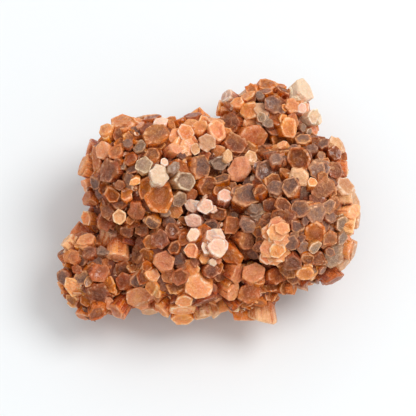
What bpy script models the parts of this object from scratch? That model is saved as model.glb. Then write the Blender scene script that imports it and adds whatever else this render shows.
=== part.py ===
"""Aragonite star cluster, about 90 mm across: hexagonal prisms that radiate from thirteen centres.

Every prism stands on the skin of a lobe, an ellipsoid round the centre that it grew from, and points
away from that centre. The prisms and the massive hearts of the lobes grew as one piece, so they are
joined in one solid. It rests on the flat ends of a few prisms that point straight down.

The lengths below are in millimetres. +Z is up, and the origin lies on the surface that the cluster
rests on, under the middle of its box. The side that shows best is seen from the front, 70 degrees
above the horizon. The table of prism ends is laid out on the plane that faces that way: how far
across to the right, and how far up.
"""

import math
import random
from typing import NamedTuple

import bmesh
import bpy
from mathutils import Matrix, Vector

MM = 0.001

# The plane on which the prism ends are laid out
FACING_ELEVATION = math.radians(70.0)
ACROSS = Vector((1.0, 0.0, 0.0))
UP = Vector((0.0, math.sin(FACING_ELEVATION), math.cos(FACING_ELEVATION)))
TOWARDS = Vector((0.0, -math.cos(FACING_ELEVATION), math.sin(FACING_ELEVATION)))
PLANE_MIDDLE = 7.9 * UP

# Prisms
SEED = 1
SIDES = 6
CORNER_WANDER = 0.07  # the share of the radius by which a corner strays
END_STRETCH = (1.0, 1.15)  # how much longer than wide an end is
ROOT_TAPER = 0.78  # the width at the root as a share of the width at the end
ROOT_DEPTH = 0.42  # how deep the roots go, as a share of the way to the lobe's centre
CROWDING = 0.8  # below 1, the prisms on the upper side lean towards straight up
LISTED_PROUD = (-1.1, 1.3)  # how far a listed prism stands out of the skin

# Prisms that cover what the table leaves free
FILL_WIDTH = (7.0, 9.0)
FILL_PROUD = (-1.6, 0.6)
FILL_TRIES = 340
FILL_SPACING = 0.97  # the least distance between two ends, in mean widths
FILL_CLEARANCE = 0.9  # the least height of these prisms over the resting surface
MOST_SHORTENED = 5.0
DOWNWARD = -0.1  # a prism whose axis has less Z than this points down

HEART_SHARE = 0.84  # the size of a lobe's massive heart as a share of the lobe
FOOT_LENGTH = 9.0

STONE_COLOUR = (0.42, 0.16, 0.08, 1.0)
STONE_ROUGHNESS = 0.55


class Lobe(NamedTuple):
    """An ellipsoid of prisms round the centre that they grew from."""

    centre: Vector
    radii: Vector


LOBES = {
    "left": Lobe(Vector((-17.1, 6.2, 22.5)), Vector((19.6, 19.8, 20.5))),
    "hip": Lobe(Vector((-25.2, -2.2, 16.0)), Vector((10.3, 11.0, 14.0))),
    "waist": Lobe(Vector((-13.0, -8.0, 15.5)), Vector((11.0, 9.5, 13.5))),
    "saddle": Lobe(Vector((0.0, 13.0, 23.0)), Vector((13.8, 13.2, 14.5))),
    "neck": Lobe(Vector((11.5, 9.5, 20.5)), Vector((11.0, 11.0, 14.0))),
    "crest": Lobe(Vector((17.6, 25.0, 17.5)), Vector((14.6, 13.2, 15.5))),
    "shoulder": Lobe(Vector((31.0, 11.0, 19.0)), Vector((10.4, 10.4, 14.0))),
    "right": Lobe(Vector((24.6, -5.0, 22.5)), Vector((20.0, 22.0, 20.5))),
    "middle": Lobe(Vector((4.0, -4.0, 18.5)), Vector((16.0, 18.0, 17.5))),
    "front": Lobe(Vector((-5.1, -17.7, 19.0)), Vector((18.0, 15.2, 17.5))),
    "instep": Lobe(Vector((-20.0, -19.5, 13.0)), Vector((9.5, 9.6, 12.0))),
    "toe": Lobe(Vector((-32.5, -19.6, 13.5)), Vector((11.7, 14.2, 12.5))),
    "heel": Lobe(Vector((12.6, -22.0, 15.0)), Vector((9.8, 11.4, 13.5))),
}

# The ends of the prisms that show best: across, up and width
ENDS = {
    "left": (
        (-24.5, 23.0, 8.0), (-18.5, 25.5, 5.0), (-15.0, 19.0, 7.0), (-6.5, 17.5, 8.0),
        (-35.0, 16.0, 5.0), (-35.5, 10.5, 5.5), (-30.0, 14.5, 5.0), (-26.5, 14.0, 4.5),
        (-20.0, 16.5, 4.0), (-16.0, 13.0, 4.5), (-28.0, 8.5, 6.5), (-18.5, 10.0, 5.0),
        (-14.0, 7.5, 6.0), (-7.5, 5.5, 6.0), (-14.0, 1.0, 8.5), (-22.5, 12.5, 4.5),
        (-23.0, 6.0, 5.0), (-20.5, -3.0, 5.5), (-17.0, -2.5, 5.0), (-16.0, -5.5, 4.5),
        (-32.0, 5.5, 4.0), (-2.5, 9.5, 7.0), (0.5, 4.5, 5.5), (-8.5, 0.5, 4.5),
    ),
    "hip": (
        (-23.5, 2.0, 4.0), (-27.5, 1.5, 4.5), (-25.5, -0.5, 4.0), (-29.0, -3.0, 4.5),
        (-29.5, -6.0, 5.0), (-25.5, -5.0, 4.0), (-35.0, 0.5, 4.0), (-34.0, -5.0, 4.0),
        (-26.0, -15.5, 6.0), (-23.5, -9.0, 4.0),
    ),
    "waist": (
        (-13.5, -11.0, 5.5), (-11.0, -6.5, 4.0), (-19.0, -8.5, 4.0), (-16.0, -12.0, 4.5),
    ),
    "saddle": (
        (3.5, 11.0, 4.5), (8.0, 16.5, 6.5), (3.0, 20.0, 6.0), (0.0, 16.5, 5.0),
        (-4.5, 26.0, 5.5), (2.5, 23.5, 5.0), (-2.0, 21.0, 4.5), (-10.0, 25.0, 5.5),
    ),
    "neck": (
        (9.5, 9.0, 7.0), (13.0, 12.5, 4.0), (17.0, 8.5, 6.0), (13.0, 19.5, 8.0), (15.5, 3.0, 4.0),
    ),
    "crest": (
        (28.0, 32.5, 7.5), (31.5, 34.0, 5.5), (30.0, 24.5, 4.5), (32.5, 25.0, 4.0),
        (23.5, 21.5, 6.0), (18.0, 34.5, 6.0), (22.5, 33.0, 4.5), (19.5, 28.0, 5.5),
        (12.5, 27.0, 5.5), (17.0, 24.0, 4.5), (7.0, 30.0, 4.0), (9.5, 28.5, 4.0),
        (7.0, 23.0, 5.0), (13.5, 33.0, 4.0), (24.5, 27.5, 4.5), (31.0, 29.0, 5.0),
        (3.5, 27.5, 4.5),
    ),
    "shoulder": (
        (27.0, 12.0, 7.0), (34.0, 16.5, 4.0), (37.5, 16.0, 5.0), (37.0, 13.5, 4.0),
        (37.5, 9.0, 5.0), (41.0, 9.0, 4.0), (27.0, 7.0, 5.5), (34.0, 4.0, 7.0),
        (32.0, 9.0, 5.0), (28.5, 17.5, 4.5),
    ),
    "right": (
        (18.5, 14.0, 4.0), (20.5, 11.0, 4.0), (23.0, 8.5, 4.0), (24.5, 3.5, 5.5),
        (20.0, 3.5, 5.0), (16.0, 2.5, 4.0), (39.5, 3.5, 5.0), (22.0, -1.5, 4.5),
        (27.0, -2.5, 5.5), (31.5, -3.5, 6.0), (35.5, -2.0, 4.0), (42.5, -1.0, 5.0),
        (43.5, -5.5, 5.0), (36.0, -4.5, 4.0), (39.5, -7.0, 4.5), (31.5, -9.5, 6.5),
        (31.5, -13.5, 4.0), (20.5, -9.0, 6.5), (19.5, -15.0, 7.5), (25.0, -12.0, 4.5),
        (28.0, -13.5, 4.0), (25.0, -18.0, 5.5), (29.0, -16.5, 4.0), (32.5, -17.0, 4.0),
        (28.5, -20.5, 5.0), (39.5, -10.5, 4.5), (40.5, -18.0, 6.0), (42.0, -14.0, 5.0),
        (37.0, -23.0, 7.0), (26.5, -7.5, 4.5), (35.5, -11.0, 4.5),
    ),
    "middle": (
        (5.0, 0.5, 4.0), (11.0, 1.0, 8.0), (7.0, -7.0, 5.0), (12.0, -7.0, 5.0),
        (11.5, -11.5, 5.5), (7.0, -15.5, 6.0), (-0.5, -2.0, 4.5), (1.0, -7.5, 4.5),
        (-3.5, -6.0, 4.5), (15.0, -3.0, 4.5),
    ),
    "front": (
        (2.0, -12.5, 7.0), (-4.5, -15.0, 4.0), (-9.5, -13.5, 4.0),
        (-12.5, -17.5, 6.0), (-2.5, -24.5, 8.0), (7.5, -21.0, 6.0), (6.0, -25.5, 5.5),
        (0.5, -20.5, 4.0), (-8.0, -22.0, 5.0), (-21.0, -15.0, 6.5), (-7.5, -35.0, 6.0),
        (-7.0, -11.0, 4.0), (-1.0, -34.0, 5.5),
        (4.5, -33.0, 5.5), (8.5, -30.5, 4.5), (-13.0, -31.5, 5.0), (-6.5, -28.5, 4.5),
    ),
    "instep": (
        (-20.0, -23.0, 5.0), (-23.5, -23.5, 5.0), (-19.5, -27.5, 7.5), (-17.0, -32.0, 5.0),
        (-26.0, -31.0, 5.5), (-16.0, -21.5, 4.0),
    ),
    "toe": (
        (-31.5, -21.0, 6.0), (-32.0, -27.0, 7.0), (-32.0, -32.0, 6.0), (-36.5, -34.0, 4.5),
        (-43.5, -27.0, 6.0), (-41.5, -22.5, 4.5), (-39.5, -16.5, 5.0), (-42.5, -15.0, 4.5),
        (-35.5, -12.0, 5.0), (-34.5, -15.5, 4.0), (-31.5, -11.0, 4.0), (-28.5, -10.0, 5.5),
        (-37.0, -22.5, 4.5), (-40.5, -12.5, 4.5), (-37.5, -10.0, 4.5),
    ),
    "heel": (
        (13.5, -21.5, 6.0), (19.5, -22.0, 5.0), (12.5, -27.0, 6.0), (16.5, -32.5, 7.0),
        (22.0, -25.5, 4.0), (25.0, -25.5, 4.0),
    ),
}

# The prisms that point straight down and carry the cluster: lobe, x, y and width
FEET = (
    ("left", -19.0, 8.0, 7.0), ("hip", -25.5, -2.0, 5.0), ("crest", 17.5, 24.5, 7.0),
    ("right", 28.0, -4.0, 7.0), ("right", 21.0, -7.0, 5.5), ("middle", 3.0, -2.0, 6.0),
    ("heel", 14.5, -22.5, 6.5), ("toe", -33.0, -19.0, 7.0), ("front", -6.0, -18.5, 6.5),
)


class Prism(NamedTuple):
    """One crystal. Its end is the middle of the outer face, and its axis points out of that face."""

    end: Vector
    axis: Vector
    width: float
    stretch: float
    roll: float
    length: float
    wander: tuple


def scaled(vector, lobe):
    """The vector in units of the lobe's radii."""
    return Vector([vector[i] / lobe.radii[i] for i in range(3)])


def depth_of_skin(lobe, place):
    """How far towards the viewer from this place the lobe's skin lies, and whether it lies there at all.

    Beside the lobe there is no skin, and the depth is that of the closest pass.
    """
    start = scaled(place - lobe.centre, lobe)
    way = scaled(TOWARDS, lobe)
    closest = -start.dot(way) / way.length_squared
    gap_squared = (start + closest * way).length_squared
    if gap_squared >= 1.0:
        return closest, False
    return closest + math.sqrt((1.0 - gap_squared) / way.length_squared), True


def end_on_skin(name, across, up):
    """The point of the cluster's skin nearest the viewer at this place of the layout plane."""
    place = PLANE_MIDDLE + across * ACROSS + up * UP
    found = [depth_of_skin(lobe, place) for lobe in LOBES.values()]
    depths = [depth for depth, there in found if there]
    return place + (max(depths) if depths else depth_of_skin(LOBES[name], place)[0]) * TOWARDS


def prism_at(lobe, end, width, proud, dice):
    """A prism that grew from the lobe's centre through this end, and stands out of it by proud."""
    way = end - lobe.centre
    lean = CROWDING if way.z > 0.0 else 1.0
    axis = Vector((way.x * lean, way.y * lean, way.z)).normalized()
    return Prism(
        end=end + proud * axis,
        axis=axis,
        width=width,
        stretch=dice.uniform(*END_STRETCH),
        roll=dice.uniform(0.0, math.tau),
        length=way.length * ROOT_DEPTH + 0.5 * width,
        wander=tuple(dice.uniform(1.0 - CORNER_WANDER, 1.0 + CORNER_WANDER) for _ in range(SIDES)),
    )


def listed_prisms(dice):
    """The prisms of the table."""
    return [
        prism_at(LOBES[name], end_on_skin(name, across, up), width, dice.uniform(*LISTED_PROUD), dice)
        for name, rows in ENDS.items()
        for across, up, width in rows
    ]


def feet(dice):
    """The prisms whose ends lie in the plane on which the cluster rests."""
    made = []
    for name, x, y, width in FEET:
        foot = prism_at(LOBES[name], Vector((x, y, 0.0)), width, 0.0, dice)
        made.append(foot._replace(axis=Vector((0.0, 0.0, -1.0)), length=FOOT_LENGTH))
    return made


def spiral(count, index):
    """Direction number index of count directions spread evenly over a sphere."""
    height = 1.0 - 2.0 * (index + 0.5) / count
    ring = math.sqrt(1.0 - height * height)
    turn = index * math.pi * (3.0 - math.sqrt(5.0))
    return Vector((ring * math.cos(turn), ring * math.sin(turn), height))


def clear_of_surface(prism):
    """The prism, shortened where its end would come lower than the feet allow."""
    lowest = prism.end.z - 0.5 * prism.width * math.sqrt(1.0 - prism.axis.z**2)
    if lowest >= FILL_CLEARANCE or prism.axis.z >= DOWNWARD:
        return prism
    back = min((FILL_CLEARANCE - lowest) / -prism.axis.z, MOST_SHORTENED)
    return prism._replace(end=prism.end - back * prism.axis, length=prism.length - back)


def filling_prisms(placed, dice):
    """Prisms wherever a lobe's skin is free, clear of those placed already."""
    made = []
    for name, lobe in LOBES.items():
        others = [other for key, other in LOBES.items() if key != name]
        for index in range(FILL_TRIES):
            stray = Vector([dice.uniform(-1.0, 1.0) for _ in range(3)]) / math.sqrt(FILL_TRIES)
            way = (spiral(FILL_TRIES, index) + stray).normalized()
            width = dice.uniform(*FILL_WIDTH)
            proud = dice.uniform(*FILL_PROUD)
            end = lobe.centre + Vector([way[i] * lobe.radii[i] for i in range(3)])
            if any(scaled(end - other.centre, other).length < 1.0 for other in others):
                continue
            if all(
                (end - near.end).length > FILL_SPACING * 0.5 * (width + near.width)
                for near in placed + made
            ):
                made.append(clear_of_surface(prism_at(lobe, end, width, proud, dice)))
    return made


def grown_prisms():
    """Every prism of the cluster."""
    dice = random.Random(SEED)
    placed = listed_prisms(dice) + feet(dice)
    return placed + filling_prisms(placed, dice)


def corners(prism):
    """The six corners of the prism's end, and the six of its root."""
    turn = prism.axis.to_track_quat("Z", "Y").to_matrix() @ Matrix.Rotation(prism.roll, 3, "Z")
    radius = 0.5 * prism.width / math.cos(math.pi / SIDES)
    long_way = radius * math.sqrt(prism.stretch)
    short_way = radius / math.sqrt(prism.stretch)
    ends = []
    roots = []
    for number, wander in enumerate(prism.wander):
        angle = math.tau * number / SIDES
        corner = turn @ Vector((long_way * math.cos(angle), short_way * math.sin(angle), 0.0))
        ends.append(prism.end + wander * corner)
        roots.append(prism.end - prism.length * prism.axis + ROOT_TAPER * wander * corner)
    return ends, roots


def add_prism(mesh, prism):
    """A closed six-sided prism in the mesh: a straight one whose corners then move to their places."""
    made = bmesh.ops.create_cone(
        mesh, cap_ends=True, segments=SIDES, radius1=1.0, radius2=1.0, depth=1.0
    )
    ends, roots = corners(prism)
    for vert in made["verts"]:
        turn = math.atan2(vert.co.y, vert.co.x) % math.tau
        place = ends if vert.co.z > 0.0 else roots
        vert.co = place[int(turn / math.tau * SIDES)]


def add_heart(mesh, lobe):
    """The massive middle of a lobe, which the prisms stand in."""
    place = Matrix.Translation(lobe.centre) @ Matrix.Diagonal((*(lobe.radii * HEART_SHARE), 1.0))
    bmesh.ops.create_icosphere(mesh, subdivisions=1, radius=1.0, matrix=place)


def origin_under(prisms):
    """The point of the resting surface under the middle of the cluster's box."""
    points = [corner for prism in prisms for corner in corners(prism)[0]]
    middle = [0.5 * (min(p[i] for p in points) + max(p[i] for p in points)) for i in range(2)]
    return Vector((*middle, 0.0))


def object_of(mesh, name, origin, collection):
    """A new object that holds this mesh, which is in millimetres, measured from the origin in metres."""
    bmesh.ops.recalc_face_normals(mesh, faces=mesh.faces)
    bmesh.ops.translate(mesh, verts=mesh.verts, vec=-origin)
    bmesh.ops.scale(mesh, verts=mesh.verts, vec=Vector((MM, MM, MM)))
    data = bpy.data.meshes.new(name)
    mesh.to_mesh(data)
    mesh.free()
    made = bpy.data.objects.new(name, data)
    collection.objects.link(made)
    return made


def new_collection(name):
    """A collection in the scene."""
    made = bpy.data.collections.new(name)
    bpy.context.scene.collection.children.link(made)
    return made


def aragonite():
    """The material of the whole cluster."""
    made = bpy.data.materials.new("aragonite")
    made.use_nodes = True
    shader = made.node_tree.nodes["Principled BSDF"]
    shader.inputs["Base Color"].default_value = STONE_COLOUR
    shader.inputs["Roughness"].default_value = STONE_ROUGHNESS
    shader.inputs["Metallic"].default_value = 0.0
    return made


def main():
    for old in list(bpy.data.objects):
        bpy.data.objects.remove(old)

    prisms = grown_prisms()
    origin = origin_under(prisms)
    hearts_mesh = bmesh.new()
    for lobe in LOBES.values():
        add_heart(hearts_mesh, lobe)
    prisms_mesh = bmesh.new()
    for prism in prisms:
        add_prism(prisms_mesh, prism)

    parts = new_collection("aragonite star cluster")
    shapes = new_collection("shapes to join")
    cluster = object_of(hearts_mesh, "aragonite_cluster", origin, parts)
    crystals = object_of(prisms_mesh, "crystals_to_join", origin, shapes)
    crystals.hide_render = True
    crystals.display_type = "WIRE"
    cluster.data.materials.append(aragonite())

    join = cluster.modifiers.new("grown together", "BOOLEAN")
    join.operation = "UNION"
    join.solver = "EXACT"
    join.use_self = True
    join.object = crystals


main()
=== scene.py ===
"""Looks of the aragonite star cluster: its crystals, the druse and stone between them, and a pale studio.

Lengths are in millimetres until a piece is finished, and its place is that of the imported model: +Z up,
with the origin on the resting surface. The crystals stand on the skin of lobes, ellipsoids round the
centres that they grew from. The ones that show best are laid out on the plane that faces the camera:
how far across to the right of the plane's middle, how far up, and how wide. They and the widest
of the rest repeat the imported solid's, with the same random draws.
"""

import logging
import math
import random
from collections.abc import Iterator
from dataclasses import dataclass, field, replace
from enum import Enum
from typing import ClassVar

import bmesh
import bpy
import numpy as np
from bmesh.types import BMEdge, BMesh, BMLayerItem, BMVert
from bpy.types import ID, Material, Node, NodeSocket, NodeTree, Object
from mathutils import Matrix, Vector, noise


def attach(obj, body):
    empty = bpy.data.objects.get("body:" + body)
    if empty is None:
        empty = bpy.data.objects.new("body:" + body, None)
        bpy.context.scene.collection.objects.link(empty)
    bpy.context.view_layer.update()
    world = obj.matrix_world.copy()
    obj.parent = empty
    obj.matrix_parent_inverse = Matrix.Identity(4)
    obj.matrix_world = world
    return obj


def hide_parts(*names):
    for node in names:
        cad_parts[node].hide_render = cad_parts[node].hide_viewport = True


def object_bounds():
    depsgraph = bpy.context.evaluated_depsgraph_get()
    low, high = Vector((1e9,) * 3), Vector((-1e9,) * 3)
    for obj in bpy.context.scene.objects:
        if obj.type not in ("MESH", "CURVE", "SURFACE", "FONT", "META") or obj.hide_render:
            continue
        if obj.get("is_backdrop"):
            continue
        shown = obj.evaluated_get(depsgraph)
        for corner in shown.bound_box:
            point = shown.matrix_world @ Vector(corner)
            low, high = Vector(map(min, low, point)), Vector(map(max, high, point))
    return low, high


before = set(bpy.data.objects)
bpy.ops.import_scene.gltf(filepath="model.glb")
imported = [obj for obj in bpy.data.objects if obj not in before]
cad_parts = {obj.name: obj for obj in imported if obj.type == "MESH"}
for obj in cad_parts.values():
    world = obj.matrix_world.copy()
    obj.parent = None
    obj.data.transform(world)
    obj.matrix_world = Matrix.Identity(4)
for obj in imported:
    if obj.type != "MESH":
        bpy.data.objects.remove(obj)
cad_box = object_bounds()

log = logging.getLogger("aragonite")

Span = tuple[float, float]  # the least and the greatest of something
Triple = tuple[float, float, float]  # a linear colour, or a value for each axis

MM = 0.001
NODE = "aragonite_cluster"
BODY = "root"

# The plane on which the crystal ends are laid out
FACING_ELEVATION = math.radians(70.0)
ACROSS = Vector((1.0, 0.0, 0.0))
UP = Vector((0.0, math.sin(FACING_ELEVATION), math.cos(FACING_ELEVATION)))
TOWARDS = Vector((0.0, -math.cos(FACING_ELEVATION), math.sin(FACING_ELEVATION)))
PLANE_MIDDLE = 7.9 * UP
LAYOUT_ORIGIN = Vector((0.18, 1.566, 0.0))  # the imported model's origin, in the layout's own frame

SIDES = 6
BAKE_MAP = "OFBake"
NOISE_SEED = 5  # without one, the bends would differ from run to run


class Tone(Enum):
    """The kinds of colour that the crystals have."""

    MAUVE = "mauve"
    BROWN = "brown"
    RUST = "rust"
    AMBER = "amber"
    PEACH = "peach"
    CREAM = "cream"
    ROSE = "rose"
    GREY = "grey"
    SAND = "sand"
    SMOKE = "smoke"
    DRUSE = "druse"


class Habit(Enum):
    """The shapes that a crystal's end has."""

    FLAT = "flat"
    RINGED = "ringed"
    HOLLOW = "hollow"
    NOTCHED = "notched"
    SHEAF = "sheaf"
    COLUMN = "column"
    FOOT = "foot"
    ABSENT = "absent"  # only holds its place in the draws, because a column stands in for it


MAUVE, BROWN, RUST, AMBER, PEACH, CREAM, ROSE, GREY, SAND, SMOKE, DRUSE = Tone
FLAT, RINGED, HOLLOW, NOTCHED, SHEAF, COLUMN, FOOT, ABSENT = Habit
ACCENTS = (AMBER, PEACH, CREAM, ROSE, SAND, SMOKE)  # the bright tones, which catch the eye
HABITS = {FLAT: 5.0, RINGED: 1.5, HOLLOW: 1.5, NOTCHED: 4.0}  # how often each comes up by chance


@dataclass(frozen=True)
class Lobe:
    """An ellipsoid of crystals round the centre that they grew from."""

    centre: Vector
    radii: Vector
    tones: dict[Tone, float]

    def scaled(self, vector: Vector) -> Vector:
        """The vector in units of the lobe's radii."""
        return Vector([vector[i] / self.radii[i] for i in range(3)])

    def skin_along(self, way: Vector) -> Vector:
        """The point of the skin in this direction of the unit ellipsoid."""
        return self.centre + Vector([way[i] * self.radii[i] for i in range(3)])

    def depth_of_skin(self, place: Vector) -> tuple[float, bool]:
        """How far towards the viewer from a place the lobe's skin lies.

        Args:
            place: A point of the layout plane.

        Returns:
            The depth, and whether there is skin at all. Beside the lobe it is the depth of the closest pass.
        """
        start = self.scaled(place - self.centre)
        way = self.scaled(TOWARDS)
        closest = -start.dot(way) / way.length_squared
        gap_squared = (start + closest * way).length_squared
        if gap_squared >= 1.0:
            return closest, False
        return closest + math.sqrt((1.0 - gap_squared) / way.length_squared), True


DUSKY = {MAUVE: 5.0, BROWN: 4.0, RUST: 1.2, GREY: 0.7}
RUSTY = {RUST: 4.0, BROWN: 3.0, MAUVE: 1.5, AMBER: 2.0, PEACH: 0.7}
GLOWING = {AMBER: 3.0, RUST: 3.0, BROWN: 2.5, PEACH: 1.0, SAND: 0.5, GREY: 0.3}
SIDELONG = {AMBER: 4.0, RUST: 2.0, PEACH: 2.0, SAND: 1.8, CREAM: 0.15}  # of crystals that lie across the view

LOBES = {
    "left": Lobe(Vector((-17.1, 6.2, 22.5)), Vector((19.6, 19.8, 20.5)), RUSTY),
    "hip": Lobe(Vector((-25.2, -2.2, 16.0)), Vector((10.3, 11.0, 14.0)), RUSTY),
    "waist": Lobe(Vector((-13.0, -8.0, 15.5)), Vector((11.0, 9.5, 13.5)), DUSKY),
    "saddle": Lobe(Vector((0.0, 13.0, 23.0)), Vector((13.8, 13.2, 14.5)), GLOWING),
    "neck": Lobe(Vector((11.5, 9.5, 20.5)), Vector((11.0, 11.0, 14.0)), DUSKY),
    "crest": Lobe(Vector((17.6, 25.0, 17.5)), Vector((14.6, 13.2, 15.5)), GLOWING),
    "shoulder": Lobe(Vector((31.0, 11.0, 19.0)), Vector((10.4, 10.4, 14.0)), DUSKY),
    "right": Lobe(Vector((24.6, -5.0, 22.5)), Vector((20.0, 22.0, 20.5)), DUSKY),
    "middle": Lobe(Vector((4.0, -4.0, 18.5)), Vector((16.0, 18.0, 17.5)), DUSKY),
    "front": Lobe(Vector((-5.1, -17.7, 19.0)), Vector((18.0, 15.2, 17.5)), RUSTY),
    "instep": Lobe(Vector((-20.0, -19.5, 13.0)), Vector((9.5, 9.6, 12.0)), GLOWING),
    "toe": Lobe(Vector((-32.5, -19.6, 13.5)), Vector((11.7, 14.2, 12.5)), RUSTY),
    "heel": Lobe(Vector((12.6, -22.0, 15.0)), Vector((9.8, 11.4, 13.5)), GLOWING),
}

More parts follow.
